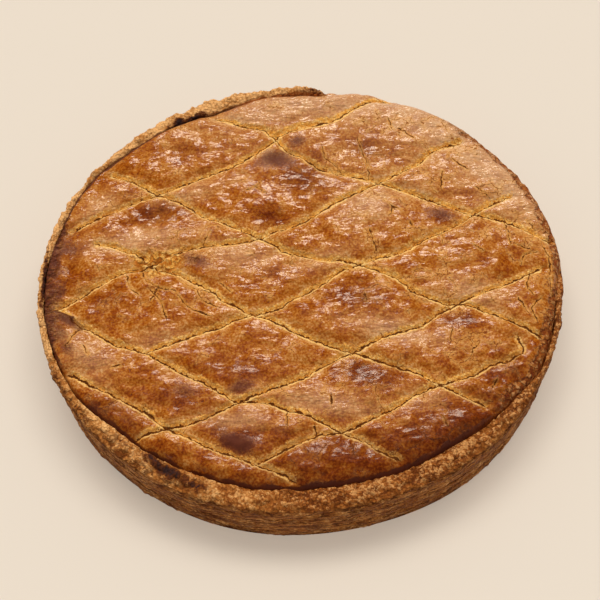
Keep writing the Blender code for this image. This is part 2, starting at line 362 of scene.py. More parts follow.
# ------------------------------------------------------------------ edit mode

def deselect_all():
    for obj in bpy.context.selected_objects:
        obj.select_set(False)


def work_on(piece):
    deselect_all()
    bpy.context.view_layer.objects.active = piece
    piece.select_set(True)


def new_grid(name, columns, rows):
    deselect_all()
    bpy.ops.mesh.primitive_grid_add(x_subdivisions=columns, y_subdivisions=rows, size=2.0)
    grid = bpy.context.object
    grid.name = grid.data.name = name
    return grid


def places_of(parts, kind="co"):
    """Where a mesh's vertices are, or the centres of its faces."""
    flat = np.empty(len(parts) * 3)
    parts.foreach_get(kind, flat)
    return flat.reshape(-1, 3)


def press(piece, places):
    piece.data.vertices.foreach_set("co", np.asarray(places, np.float32).ravel())
    piece.data.update()


def select_faces(mesh, mask):
    for parts in (mesh.vertices, mesh.edges):
        parts.foreach_set("select", np.zeros(len(parts), bool))
    mesh.polygons.foreach_set("select", mask)


def edit(mode):
    bpy.ops.object.mode_set(mode="EDIT")
    bpy.ops.mesh.select_mode(type=mode)


def open_edges():
    bpy.ops.mesh.select_all(action="DESELECT")
    bpy.ops.mesh.select_non_manifold(extend=False, use_wire=False, use_multi_face=False,
                                     use_non_contiguous=False, use_verts=False)


def keep(piece, name, values):
    """Stores three values for each point of a piece."""
    layer = piece.data.attributes.new(name, "FLOAT_VECTOR", "POINT")
    layer.data.foreach_set("vector", np.column_stack(values).astype(np.float32).ravel())


def finish_shell(piece, material):
    """Faces turned outwards, shaded smoothly, given the material, tied to the body, and the
    solid hidden.
    """
    work_on(piece)
    edit("FACE")
    bpy.ops.mesh.select_all(action="SELECT")
    bpy.ops.mesh.normals_make_consistent(inside=False)
    bpy.ops.object.mode_set(mode="OBJECT")
    bpy.ops.object.shade_smooth()
    piece.data.materials.append(material)
    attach(piece, "root")
    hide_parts("cake")


# ------------------------------------------------------------------ lid

def edge_marks(flat, inward, ragged):
    """Burnt parts along the lid's edge, painted shade in its crease against the rim, and
    where it crumbles, left and right.
    """
    azimuth = azimuth_of(flat)
    turn = np.mod(azimuth, 360.0)
    wide = 1.0 + 3.0 * arc(turn, 158.0, 178.0, 184.0, 199.0)
    left_band = arc(turn, 148.0, 156.0, 189.0, 204.0) \
        * between(1.5, 0.5, (inward + 3.4 * ragged) / wide)
    charred = left_band * (0.75 + 0.5 * lumps(flat, 2.6, 2, 51.0))
    purple = 0.65 * arc(turn, 148.0, 170.0, 190.0, 200.0) \
        * between(13.0, 3.0, inward + 8.0 * ragged)
    # Painted shade: the lid's edge is darkened in the crease where it meets the rim, at the
    # front and along the back left.
    painted_crease_shade = arc(turn, 200.0, 215.0, 300.0, 330.0) \
        * between(1.3, 0.3, inward + 1.2 * ragged)
    painted_seam_shade = arc(turn, 97.0, 108.0, 196.0, 204.0) * between(1.3, 0.4, inward + 1.2 * ragged)
    burnt = np.maximum(0.9 * np.maximum(painted_crease_shade, painted_seam_shade), np.maximum(charred, purple))
    right = np.mod(azimuth + 180.0, 360.0) - 180.0
    crumbling = arc(right, -48.0, -34.0, 30.0, 66.0) \
        * between(5.0, 1.5, inward + 3.0 * ragged)
    return burnt, left_band, crumbling


def dome_height(flat, near_score):
    """The solid's dome, waves, valleys and edge, with a narrower valley in each score."""
    radius, azimuth = np.hypot(flat[:, 0], flat[:, 1]), azimuth_of(flat)
    height = DOME_TOP - DOME_DROP * (radius / DOME_REACH) ** 2
    height += WAVE * np.array([noise.noise(Vector(p)) for p in flat / WAVE_LENGTH])
    height -= VALLEY_DEPTH * (0.2 + 0.8 / (1.0 + (near_score / VALLEY_WIDTH) ** 2))
    height -= SCORE_DEPTH * np.exp(-(near_score / SCORE_WIDTH) ** 2)
    roll = np.clip((radius - around(LID_RADII, azimuth) + EDGE_ROLL) / EDGE_ROLL, 0.0, 1.0)
    return height - around(EDGE_DROPS, azimuth) * (1.0 - np.sqrt(1.0 - roll * roll))


def torn_grooves(flat, scores, crack):
    """Height of the scores' and cracks' grooves, where they are torn, and half of their
    width.  Width and depth vary along a score, and its banks stand up a little."""
    openness = 0.5 + 0.5 * lumps(flat, 13.0, 2, 21.0)
    broad = spots(flat, WIDE_SCORES)
    half = (0.8 + 0.5 * openness) * (1.0 + 0.8 * broad)
    deep = (0.12 + 0.45 * openness) * (1.0 - 0.5 * broad)
    groove, torn, banks = np.zeros((3, len(flat)))
    for _, near, left in scores:
        part = np.clip(1.0 - near / half, 0.0, 1.0)
        fade = between(-0.5, 3.0, left)
        groove = np.maximum(groove, fade * deep * (0.5 * part + 0.5 * part ** 3))
        torn = np.maximum(torn, fade * between(-0.5, 0.3, half - near))
        banks += 0.3 * fade * np.exp(-((near / half - 1.3) / 0.4) ** 2)
    _, near, left = crack
    line = np.clip(1.0 - near / (0.3 + 0.3 * openness), 0.0, 1.0)
    groove = np.maximum(groove, between(-0.5, 1.5, left) * 0.6 * line)
    return banks - groove, torn, half


def torn_patch(flat):
    """1 where a crossing is torn, 0 elsewhere, with a ragged outline."""
    x, y, long, wide = PATCH
    off = ((flat[:, 0] - x) / long) ** 2 + ((flat[:, 1] - y) / wide) ** 2
    return between(0.35, 0.6, np.exp(-1.1 * off * (1.0 + 0.9 * lumps(flat, 5.0, 2, 40.0))))


def skin_relief(flat):
    """Waves and ripples of the baked skin, drawn out from left to right."""
    return (1.05 * lumps(flat, (11.0, 8.0, 1.0), 2, 11.0)
            + (0.38 + 0.8 * spots(flat, WRINKLES)) * lumps(flat, (4.8, 2.8, 1.0), 2, 17.0)
            + 0.12 * lumps(flat, (2.4, 1.7, 1.0), 1, 29.0))


def lid_relief(flat):
    """Height of the lid over each place of its plan, and its marks."""
    # The scores waver a little.
    bent = flat[:, :2] + 0.38 * np.column_stack([lumps(flat, 2.2, 2, 3.1),
                                                 lumps(flat, 2.2, 2, 8.7)])
    falling, rising, crack = (across_routes(bent, routes)
                              for routes in (FALLING_SCORES, RISING_SCORES, CRACKS))
    near_score = np.minimum(falling[1], rising[1])
    grooves, torn, half = torn_grooves(flat, (falling, rising), crack)
    height = dome_height(flat, near_score) + grooves

    # Torn crumb in the grooves and in the patch, baked skin elsewhere, and dips.
    patch = torn_patch(flat)
    height += 0.4 * torn * (0.5 - grains(flat, 1.6, 4.0))
    height += patch * (2.2 * (0.5 - grains(flat, 3.0, 14.0)) - 0.6)
    height += (1.0 - 0.7 * torn) * (1.0 - patch) * skin_relief(flat)
    for *spot, depth in DIPS:
        height -= depth * spots(flat, ((*spot, 1.0),))

    # A burnt lip where the left-hand scores meet the rim, and lumps where the edge
    # crumbles.
    burnt_lip = np.exp(-(across_routes(flat, (BURNT_LIP,))[1] / 1.1) ** 2)
    height += 1.3 * burnt_lip
    azimuth = azimuth_of(flat)
    inward = lid_radius(azimuth) - np.hypot(flat[:, 0], flat[:, 1])
    ragged = 0.6 * lumps(flat, 6.0, 3, 71.0)
    burnt_edge, left_band, crumbling = edge_marks(flat, inward, ragged)
    height += np.maximum(left_band, 0.8 * crumbling) * (
        1.9 * (0.5 - grains(flat, 3.2, 90.0)) + 0.9 * (0.5 - grains(flat, 1.8, 95.0)))

    # Marks for the materials.
    shows = rim_shows(azimuth)
    # Burnt spots and the burnt lip, with the painted shade of the crease along the edge.
    burnt = np.maximum(np.maximum(spots(flat, BURNT_SPOTS, ragged), burnt_edge),
                       0.9 * burnt_lip)
    rolled = between(5.0, 0.5, inward) * shows
    browned = 1.0 - (1.0 - spots(flat, BROWN_SPOTS, ragged)) * (1.0 - 0.1 * rolled)
    coarse = between(0.0, 50.0, flat[:, 0])
    closing = 1.6 * between(4.5, 1.5, inward) * shows
    marks = {
        "cut_lines": (falling[0], rising[0], crack[0]),
        "cut_reach": (falling[1] / half + closing, rising[1] / half + closing, crack[1]),
        "bake_and_shade": (browned, burnt, np.maximum(torn, patch)),
        "skin": (near_score, coarse, spots(flat, PALE_PAINTED_SHEEN_SPOTS, ragged)),
        "knobs": (patch, left_band, crumbling),
    }
    return height, marks


def make_lid(material):
    """A square grid drawn out to the lid's outline, split finer beside the scores, with
    a skirt and an underside below its edge."""
    lid = new_grid("lid", LID_CELLS, LID_CELLS)
    square = places_of(lid.data.vertices)
    x = square[:, 0] * np.sqrt(1.0 - 0.5 * square[:, 1] ** 2)
    y = square[:, 1] * np.sqrt(1.0 - 0.5 * square[:, 0] ** 2)
    part = np.hypot(x, y)
    part = part * (1.0 + CROWDING) - CROWDING * part ** 3
    azimuth = np.degrees(np.arctan2(y, x))
    press(lid, turned(azimuth, part * lid_radius(azimuth), 0.0))

    centres = places_of(lid.data.polygons, "center")
    near = np.minimum(across_routes(centres, FALLING_SCORES + RISING_SCORES)[1],
                      0.6 + across_routes(centres, CRACKS)[1])
    select_faces(lid.data, near < SPLIT_REACH)
    work_on(lid)
    edit("FACE")
    bpy.ops.mesh.subdivide(number_cuts=1, ngon=False)
    bpy.ops.mesh.select_mode(type="EDGE")
    open_edges()
    for drop, spread in LID_SKIRT:
        bpy.ops.mesh.extrude_edges_move(TRANSFORM_OT_translate={"value": (0, 0, drop)})
        bpy.ops.transform.resize(value=(spread, spread, 1.0),
                                 center_override=(0.0, 0.0, 0.0))
    bpy.ops.mesh.edge_face_add()
    bpy.ops.mesh.poke()
    bpy.ops.object.mode_set(mode="OBJECT")

    places = places_of(lid.data.vertices)
    azimuth = azimuth_of(places)
    radius = np.hypot(places[:, 0], places[:, 1])
    inside = np.minimum(radius, lid_radius(azimuth))
    height, marks = lid_relief(turned(azimuth, inside, 0.0))
    side = np.clip(-places[:, 2] / SKIRT_DEPTH, 0.0, 1.0)
    places[:, 2] += height * (1.0 - side) + side * LID_SEAT
    press(lid, places * MM)
    for name, values in marks.items():
        keep(lid, name, values)
    finish_shell(lid, material)


# ------------------------------------------------------------------ crust

def crust_rows():
    """The cup's profile, from the pole of its floor to the pole of its underside, as
    pairs of a part and how far along that part."""
    rows = [("floor", t) for t in (0.1, 0.5, 0.9)]
    rows += [("inside", t) for t in np.linspace(0.0, 0.94, 7)]
    rows += [("crown", t) for t in np.linspace(0.0, 1.0, 19)]
    rows += [("wall", t) for t in np.linspace(0.985, 0.03, 36)]
    rows += [("base", t) for t in (0.0, 0.6, 1.0)]
    rows += [("under", t) for t in (0.9, 0.4, 0.1)]
    return rows


def crust_places(azimuth):
    """Every point of the crust, ring by ring, how crumbly it is, and which are wall."""
    lip, lid = lip_radius(azimuth), lid_radius(azimuth)
    shows = rim_shows(azimuth)
    hidden = 1.0 - shows
    inner = np.minimum(lid + LID_GAP, lip - RIM_NARROWEST) * shows \
        + (lip - HIDDEN_WIDTH) * hidden
    outer = lip - HIDDEN_INSET * hidden
    crown = around(RIM_HEIGHTS, azimuth) - HIDDEN_DROP * hidden
    lean = RIM_RADIUS - BASE_RADIUS
    rings, crumbly, walled = [], [], []
    for part, t in crust_rows():
        if part == "floor":
            ring = turned(azimuth, CUP_RADIUS * t, CUP_FLOOR)
        elif part == "inside":
            ring = turned(azimuth, inner - 0.8 + 0.8 * t,
                          CUP_FLOOR + (crown - CUP_FLOOR - INNER_LIP) * t)
        elif part == "crown":
            fall = (RIM_LIP if t > 0.5 else INNER_LIP) * (2.0 * t - 1.0) ** 2
            ring = turned(azimuth, inner + (outer - inner) * t, crown - fall)
        elif part == "wall":
            tuck = 0.7 * np.exp(-((t - 0.93) / 0.035) ** 2)
            ring = turned(azimuth, outer - lean * (1.0 - t) - tuck, (crown - RIM_LIP) * t)
        elif part == "base":
            ring = turned(azimuth, outer - lean - BASE_EDGE * t * t, 0.8 * (1.0 - t) ** 2)
        else:
            ring = turned(azimuth, UNDERSIDE * t, 0.0)
        rings.append(ring)
        crumbly.append({"crown": 1.0, "inside": 0.6 * t, "wall": 0.35}.get(part, 0.0))
        walled.append(float(part == "wall"))
    count = len(azimuth)
    return np.concatenate(rings), np.repeat(crumbly, count), np.repeat(walled, count)


def make_crust(material):
    """A long grid wrapped into a cup, joined where its ends meet and closed at both
    poles."""
    rows = len(crust_rows())
    crust = new_grid("crust", RIM_STEPS, rows - 1)
    sheet = places_of(crust.data.vertices)
    order = np.lexsort((sheet[:, 0], np.round(sheet[:, 1] * rows)))
    places = np.empty_like(sheet)
    soft, wall = np.empty(len(order)), np.empty(len(order))
    places[order], soft[order], wall[order] = crust_places(
        np.linspace(-180.0, 180.0, RIM_STEPS + 1))

    # Crumb, grit and level layers, pushed out from a ring inside the crust.
    turn = azimuth_of(places)
    radius = np.hypot(places[:, 0], places[:, 1])
    core = turned(turn, np.minimum(radius, CORE_RADIUS),
                  np.minimum(places[:, 2], CORE_HEIGHT))
    out = places - core
    out /= np.maximum(np.linalg.norm(out, axis=1), 1e-6)[:, None]
    level = turned(turn, 1.0, 0.0)
    out = np.where((wall > 0.5)[:, None], level, out)
    lump = np.array([noise.noise(Vector(p)) for p in places / CRUMB_SIZE])
    push = soft * (CRUMB * lump + 1.2 * (0.45 - grains(places, 2.8, 5.0))
                   + 1.0 * (0.45 - grains(places, 1.5, 9.0))
                   + 0.9 * (1.0 - wall) * lumps(places, 4.5, 2, 33.0))
    strata = lumps(np.column_stack([level[:, :2] * 8.0, places[:, 2] / 3.0]), 1.0, 2, 2.0)
    seams = lumps(np.column_stack([level[:, :2] * 5.0, places[:, 2] / 1.7]), 1.0, 1, 6.0)
    push += wall * (0.5 * strata - 0.8 * between(0.15, 0.45, seams) - 0.1)
    push -= wall * 0.5 * between(0.2, 0.06, grains(places, 3.2, 15.0))
    foot = wall * between(3.0, 0.8, places[:, 2])
    push += foot * 0.5 * lumps(places, 3.5, 2, 44.0)
    places += out * push[:, None]
    places[:, 2] = np.maximum(places[:, 2], 0.0)
    press(crust, places * MM)

    work_on(crust)
    edit("VERT")
    bpy.ops.mesh.select_all(action="SELECT")
    bpy.ops.mesh.remove_doubles(threshold=0.00001)
    bpy.ops.mesh.select_mode(type="EDGE")
    open_edges()
    bpy.ops.mesh.edge_face_add()
    bpy.ops.object.mode_set(mode="OBJECT")

    places = places_of(crust.data.vertices) / MM
    char = spots(places, RIM_CHAR, 0.6 * lumps(places, 4.0, 2, 81.0)) \
        * between(23.0, 25.5, places[:, 2])
    keep(crust, "crumb", (grains(places, 2.8, 5.0), wall_mark(places), char))
    finish_shell(crust, material)


def wall_mark(places):
    """1 on the wall, 0 on the rim; at the front left the wall reaches onto the rim."""
    azimuth, height = azimuth_of(places), places[:, 2]
    inward = lip_radius(azimuth) - np.hypot(places[:, 0], places[:, 1])
    reaching = arc(np.mod(azimuth, 360.0), 192.0, 212.0, 232.0, 252.0)
    return np.maximum(between(26.0, 24.0, height) * between(8.0, 6.0, inward),
                      reaching * between(5.0, 2.0, inward) * (height > 20.0))


# ------------------------------------------------------------------ materials

class Tree:
    """Adds nodes to a tree.  A value given to a node is a number or colour that it
    keeps, or the socket of another node."""

    def __init__(self, tree):
        self.tree = tree

    def fill(self, inputs, values):
        for socket, value in values.items():
            if isinstance(value, bpy.types.NodeSocket):
                self.tree.links.new(value, inputs[socket])
            else:
                inputs[socket].default_value = value

    def add(self, kind, values=None, **settings):
        node = self.tree.nodes.new("ShaderNode" + kind)
        for name, setting in settings.items():
            setattr(node, name, setting)
        self.fill(node.inputs, values or {})
        return node

    def group(self, group, values):
        """The outputs of a node group that is placed in this tree."""
        return self.add("Group", values, node_tree=group).outputs

    def math(self, operation, a, b=0.0):
        return self.add("Math", {0: a, 1: b}, operation=operation).outputs[0]

    def times(self, a, b):
        return self.math("MULTIPLY", a, b)

    def most(self, a, b):
        return self.math("MAXIMUM", a, b)

    def vector(self, operation, a, values):
        return self.add("VectorMath", {0: a, **values}, operation=operation).outputs[0]

    def ease(self, value, low, high, to_low=0.0, to_high=1.0):
        """to_low at low and to_high at high, eased from one to the other."""
        return self.add("MapRange", {"Value": value, "From Min": low, "From Max": high,
                                     "To Min": to_low, "To Max": to_high},
                        interpolation_type="SMOOTHSTEP").outputs[0]

    def total(self, parts, start=0.0):
        """The sum of start and of each value times its weight."""
        result = start
        for value, weight in parts:
            result = self.add("Math", {0: value, 1: weight, 2: result},
                              operation="MULTIPLY_ADD").outputs[0]
        return result

    def ramp(self, value, stops):
        """A colour that runs through the stops, which are pairs of value and colour."""
        colour = stops[0][1]
        for (low, _), (high, next_colour) in zip(stops, stops[1:]):
            part = self.add("MapRange", {"Value": value, "From Min": low,
                                         "From Max": high}).outputs[0]
            colour = self.mix(part, colour, next_colour)
        return colour

    def noise(self, place, size, detail=2.0, roughness=0.5):
        """Fractal noise from 0 to 1; the place and the size are in the same unit."""
        return self.add("TexNoise", {"Vector": place, "Scale": 1.0 / size,
                                     "Detail": detail,
                                     "Roughness": roughness}).outputs["Fac"]

    def bend(self, place, scale, detail, reach):
        """The place, pushed aside by noise as far as its reach."""
        push = self.add("TexNoise", {"Vector": place, "Scale": scale, "Detail": detail})
        return self.vector("ADD", place, {1: self.vector(
            "SCALE", push.outputs["Color"], {"Scale": reach})})

    def mix(self, factor, a, b, blend="MIX"):
        return self.add("Mix", {"Factor": factor, 6: a, 7: b}, data_type="RGBA",
                        blend_type=blend).outputs[2]

    def mark(self, name):
        """The three parts of a stored mark."""
        return self.parts(self.add("Attribute", attribute_name=name).outputs["Vector"])

    def millimetres(self):
        """Object coordinates in millimetres."""
        place = self.add("TexCoord").outputs["Object"]
        return self.vector("SCALE", place, {"Scale": 1.0 / MM})

    def parts(self, vector):
        return self.add("SeparateXYZ", {0: vector}).outputs


def new_group(name, sizes, results):
    """A node group that is given a place and some sizes: the group, a Tree to build it
    with, what it is given, and the sockets of its results."""
    group = bpy.data.node_groups.new(name, "ShaderNodeTree")
    group.interface.new_socket("Place", in_out="INPUT", socket_type="NodeSocketVector")
    for size in sizes:
        group.interface.new_socket(size, in_out="INPUT", socket_type="NodeSocketFloat")
    for result in results:
        group.interface.new_socket(result, in_out="OUTPUT", socket_type="NodeSocketFloat")
    return (group, Tree(group), group.nodes.new("NodeGroupInput").outputs,
            group.nodes.new("NodeGroupOutput").inputs)


def torn_crumb_group():
    """Granular crumb: pale grains, with gaps between them that the materials darken as
    painted shade.
    """
    group, build, given, results = new_group("torn crumb", ("Size",),
                                             ("Grain", "Gap", "Height"))
    scaled = build.vector("DIVIDE", given["Place"], {1: given["Size"]})
    cell = build.add("TexVoronoi", {"Vector": build.bend(scaled, 1.3, 2.0, 0.8),
                                    "Scale": 1.0}, feature="F1").outputs
    tone = build.add("SeparateColor", {0: cell["Color"]}).outputs[0]
    fine = build.noise(scaled, 0.35, 3.0, 0.6)
    gap = build.ease(build.total(((cell["Distance"], 1.0), (fine, 0.35))), 0.55, 0.85)
    build.fill(results, {"Grain": build.total(((tone, 0.6), (fine, 0.4))), "Gap": gap,
                         "Height": build.total(((fine, 0.7), (gap, -1.0)))})
    return group


def mottle_group():
    """Uneven browning: soft patches with a fine grain on top."""
    group, build, given, results = new_group("mottle", ("Size", "Fine"),
                                             ("Patch", "Grain"))
    for size, result, detail, roughness in (("Size", "Patch", 5.0, 0.58),
                                            ("Fine", "Grain", 3.0, 0.6)):
        scaled = build.vector("DIVIDE", given["Place"], {1: given[size]})
        build.fill(results, {result: build.ease(
            build.noise(scaled, 1.0, detail, roughness), 0.3, 0.7)})
    return group


def new_material(name, colour):
    material = bpy.data.materials.new(name)
    material.use_nodes = True
    material.diffuse_color = colour
    build = Tree(material.node_tree)
    return material, build, material.node_tree.nodes["Principled BSDF"].inputs


def finish_surface(build, surface, colour, rough, height, strength):
    bump = build.add("Bump", {"Height": height, "Distance": BUMP_DEPTH * MM,
                              "Strength": strength}).outputs[0]
    build.fill(surface, {"Base Color": colour, "Roughness": rough, "Normal": bump})


CREAM = (0.750, 0.450, 0.210, 1.0)
STRAW = (0.650, 0.330, 0.125, 1.0)
GOLD = (0.550, 0.226, 0.052, 1.0)
AMBER = (0.450, 0.144, 0.014, 1.0)
ORANGE = (0.355, 0.086, 0.002, 1.0)
DEEP_ORANGE = (0.263, 0.047, 0.001, 1.0)
ORANGE_BROWN = (0.172, 0.026, 0.000, 1.0)
PAINTED_SHEEN = (0.680, 0.400, 0.230, 1.0)
TOASTED = (0.550, 0.430, 0.260, 1.0)
PURPLE_BROWN = (0.105, 0.018, 0.005, 1.0)
DOUGH_PALE = (1.000, 0.670, 0.240, 1.0)
DOUGH = (0.920, 0.440, 0.075, 1.0)
DOUGH_DARK = (0.680, 0.230, 0.010, 1.0)
# Colours of painted shade in cracks, pits and gaps.
SHADE_TINT = (0.620, 0.360, 0.090, 1.0)
CRACK_SHADE = (0.120, 0.030, 0.001, 1.0)
CRUST_PALE = (0.840, 0.430, 0.150, 1.0)
CRUST_GOLD = (0.500, 0.190, 0.040, 1.0)
CRUST_BROWN = (0.330, 0.095, 0.013, 1.0)
CRUST_DARK = (0.135, 0.030, 0.003, 1.0)
CHAR = (0.035, 0.014, 0.012, 1.0)

BUMP_DEPTH = 0.5
WEB_SIZE = 8.0                     # size of the crackle's cells
PIT_SPACING = 3.6
LINE_WIDTHS = (0.16, 0.16, 0.10)   # of falling scores, rising scores and cracks


def lid_fields(build, crumb, mottle):
    """What the lid's colour, gloss and relief are worked out from."""
    lid = SimpleNamespace(place=build.millimetres())
    x, y, _ = build.parts(lid.place)
    # Painted sheen: strongest at the back right, where the glaze would catch the light.
    lid.back = build.ease(build.total(((x, 0.35), (y, 0.9))), 25.0, 95.0)
    lid.front = build.ease(y, 20.0, -60.0)
    lid.lines, lid.reach = build.mark("cut_lines"), build.mark("cut_reach")
    lid.browning, burning_and_crease_shade, lid.dough_shows = build.mark("bake_and_shade")
    # pale: the pale spots, where the skin is paler and carries painted sheen.
    lid.near_score, lid.coarse, lid.pale = build.mark("skin")
    lid.patch, lid.left_band, crumbling = build.mark("knobs")
    lid.uneven = build.group(mottle, {"Place": lid.place, "Size": 6.5, "Fine": 1.0})
    lid.torn = build.group(crumb, {"Place": lid.place, "Size": 0.9})
    lid.lumpy = build.group(crumb, {"Place": lid.place, "Size": 2.2})
    lid.ragged, lid.wander, lid.breaks = (
        build.total(((build.noise(lid.place, size, detail, 0.6), 1.0),), -0.5)
        for size, detail in ((0.8, 3.0), (3.2, 4.0), (5.0, 3.0)))
    # The burnt mark also carries the painted shade of the crease along the lid's edge.
    lid.browned, lid.burnt, lid.crumbly = (
        build.ease(build.total(((mark, 1.0), (lid.ragged, amount))), low, high)
        for mark, amount, low, high in ((lid.browning, 0.5, 0.1, 1.1),
                                        (burning_and_crease_shade, 0.6, 0.2, 0.85),
                                        (crumbling, 1.2, 0.25, 0.75)))
    return lid


def skin_colour(build, lid):
    """From orange-brown to gold, paler towards the cuts, with painted sheen at the back and
    in spots.
    """
    toward = build.ease(build.total(((lid.near_score, 1.0), (lid.wander, 5.0))), 4.5, 1.0)
    # Lightened towards the back as painted sheen; in the pale spots paler in itself and
    # lightened as painted sheen.
    tone = build.total(((lid.uneven["Patch"], 0.36), (lid.uneven["Grain"], 0.46),
                        (toward, 0.20), (lid.pale, 0.20), (lid.browning, -0.27),
                        (lid.back, 0.09)), 0.025)
    colour = build.ramp(tone, (
        (0.0, ORANGE_BROWN), (0.18, DEEP_ORANGE), (0.36, ORANGE), (0.54, AMBER),
        (0.72, GOLD), (0.9, STRAW), (1.1, CREAM)))
    # Painted sheen: a pinkish pale mixed in over the pale spots and towards the back.
    colour = build.mix(build.total(((lid.pale, 0.38), (lid.back, 0.12))), colour, PAINTED_SHEEN)
    colour = build.mix(lid.browned, colour, TOASTED, "MULTIPLY")
    return build.mix(build.times(lid.burnt, 0.92), colour, PURPLE_BROWN)


def skin_flaws(build, lid):
    """Pits and a fine crackle, more of it to the right, and the dough beside it."""
    bent = build.bend(lid.place, 0.45, 3.0, 4.0)
    edge, middle = (build.add("TexVoronoi", {"Vector": bent, "Scale": 1.0 / size},
                              feature=feature).outputs["Distance"]
                    for size, feature in ((WEB_SIZE, "DISTANCE_TO_EDGE"),
                                          (PIT_SPACING, "F1")))
    off = build.total(((edge, WEB_SIZE), (lid.ragged, 0.5)))
    crackled = build.ease(build.total(((build.noise(lid.place, 9.0, 3.0), 1.0),
                                       (lid.coarse, 0.07))), 0.56, 0.64)
    web = build.times(crackled, build.ease(off, 0.22, 0.02, 0.0, 0.7))
    beside = build.times(crackled, build.ease(off, 1.8, 0.2, 0.0, 0.7))
    beside = build.times(beside, build.total(((lid.browned, -1.0),), 1.0))
    pits = build.times(build.ease(middle, 0.14, 0.05, 0.0, 0.7),
                       build.ease(build.noise(lid.place, 17.0, 2.0), 0.5, 0.6))
    return build.most(web, pits), beside


def bare_dough(build, lid, beside_crackle):
    """Where dough shows: on both banks of the scores, the wider of which faces the front,
    beside cracks and crackle, and in torn crumb."""
    banks = [build.times(lid.reach[k], build.ease(lid.lines[k], -0.3, 0.5, 1.4, 0.75))
             for k in (0, 1)]
    beside = build.total(((build.math("MINIMUM", *banks), 1.0), (lid.ragged, 2.2),
                          (lid.breaks, 3.2)))
    beside_crack = build.total(((lid.reach[2], 1.0), (lid.ragged, 1.2)))
    bare = build.most(
        build.most(build.ease(beside, 1.6, 0.7), lid.dough_shows),
        build.times(build.most(build.ease(beside_crack, 1.5, 0.3), beside_crackle), 0.5))
    unbaked = build.total(((lid.burnt, -1.2), (lid.browning, -0.62)), 1.0)
    return build.times(bare, build.most(unbaked, 0.0))


def dough_colour(build, lid):
    """Granular, with a painted highlight: a pale lip on the bank of each score that faces
    the back.
    """
    dough = build.ramp(lid.torn["Grain"], ((0.05, DOUGH_DARK), (0.5, DOUGH),
                                           (0.95, DOUGH_PALE)))
    # The gaps between grains are darkened: painted shade.
    dough = build.mix(build.times(lid.torn["Gap"], 0.35), dough, DOUGH_DARK)
    # Painted highlight on the bank that the light from behind falls on.
    lip = build.most(*(build.times(build.ease(lid.reach[k], 1.6, 1.1),
                                   build.ease(lid.lines[k], 0.1, -0.4)) for k in (0, 1)))
    return build.mix(build.times(lip, 0.6), dough, DOUGH_PALE)


def painted_hollow_shade(build, lid, flaws):
    """Where painted shade darkens the skin: its flaws, gaps between lumps, and the cuts and
    cracks themselves.
    """
    lumps_show = build.total(((lid.patch, 0.48), (lid.crumbly, 0.50)))
    hollow_shade = build.most(flaws, build.times(lid.lumpy["Gap"], lumps_show))
    for k, width in enumerate(LINE_WIDTHS):
        off = build.math("ABSOLUTE", build.total((
            (lid.lines[k], 1.0), (lid.wander, 2.4), (lid.ragged, 0.5))))
        line = build.ease(build.total(((off, 1.0), (lid.breaks, 1.2),
                                       (lid.front, -0.12))), width + 0.20, width - 0.10)
        line = build.times(line, build.math("LESS_THAN", lid.reach[k], 2.0))
        hollow_shade = build.most(hollow_shade, line)
    return hollow_shade


def glaze_height(build, lid, bare, hollow_shade):
    """Ripples that run from left to right, weaker on brown and burnt skin, with crumb,
    lumps and sunken lines."""
    drawn = build.add("Mapping", {"Vector": lid.place,
                                  "Scale": (0.50, 1.0, 1.0)}).outputs[0]
    ripple = build.noise(drawn, 1.5, 1.0)
    waves = build.total(((build.noise(lid.place, 0.9, 1.0), 0.20), (ripple, 0.60),
                         (build.times(ripple, lid.pale), 1.3),
                         (build.noise(drawn, 4.0, 1.0), 1.2)))
    lumps_up = build.times(build.most(lid.patch, lid.crumbly), lid.lumpy["Height"])
    return build.total(((waves, 1.0), (build.times(waves, lid.browning), -0.45),
                        (build.times(waves, lid.burnt), -0.40),
                        (build.times(bare, lid.torn["Height"]), 0.5),
                        (build.times(lid.left_band, ripple), 4.0),
                        (lumps_up, 1.5), (hollow_shade, -0.3)))


def glazed_material(crumb, mottle):
    """Glazed skin with bare dough beside its cuts, rubble at its edge, and painted shade in
    its cracks, pits and gaps.
    """
    material, build, surface = new_material("glazed lid", AMBER)
    lid = lid_fields(build, crumb, mottle)
    flaws, beside_crackle = skin_flaws(build, lid)
    bare = bare_dough(build, lid, beside_crackle)
    hollow_shade = painted_hollow_shade(build, lid, flaws)
    rubble = build.ramp(lid.torn["Grain"], ((0.2, DEEP_ORANGE), (0.5, AMBER),
                                            (0.8, STRAW)))
    colour = build.mix(bare, skin_colour(build, lid), dough_colour(build, lid))
    colour = build.mix(build.times(lid.crumbly, 0.8), colour, rubble)
    # Painted shade in the hollows: a warm darkening at their edges, and a dark core.
    colour = build.mix(build.ease(hollow_shade, 0.0, 0.6), colour, SHADE_TINT, "MULTIPLY")
    colour = build.mix(build.ease(hollow_shade, 0.4, 1.0), colour, CRACK_SHADE)
    rough = build.total(((bare, 0.5), (build.noise(lid.place, 5.0, 2.0), 0.14),
                         (lid.crumbly, 0.4), (hollow_shade, 0.6), (lid.front, 0.07),
                         (lid.burnt, 0.45)), 0.13)
    finish_surface(build, surface, colour, rough, glaze_height(build, lid, bare, hollow_shade), 1.0)
    return material


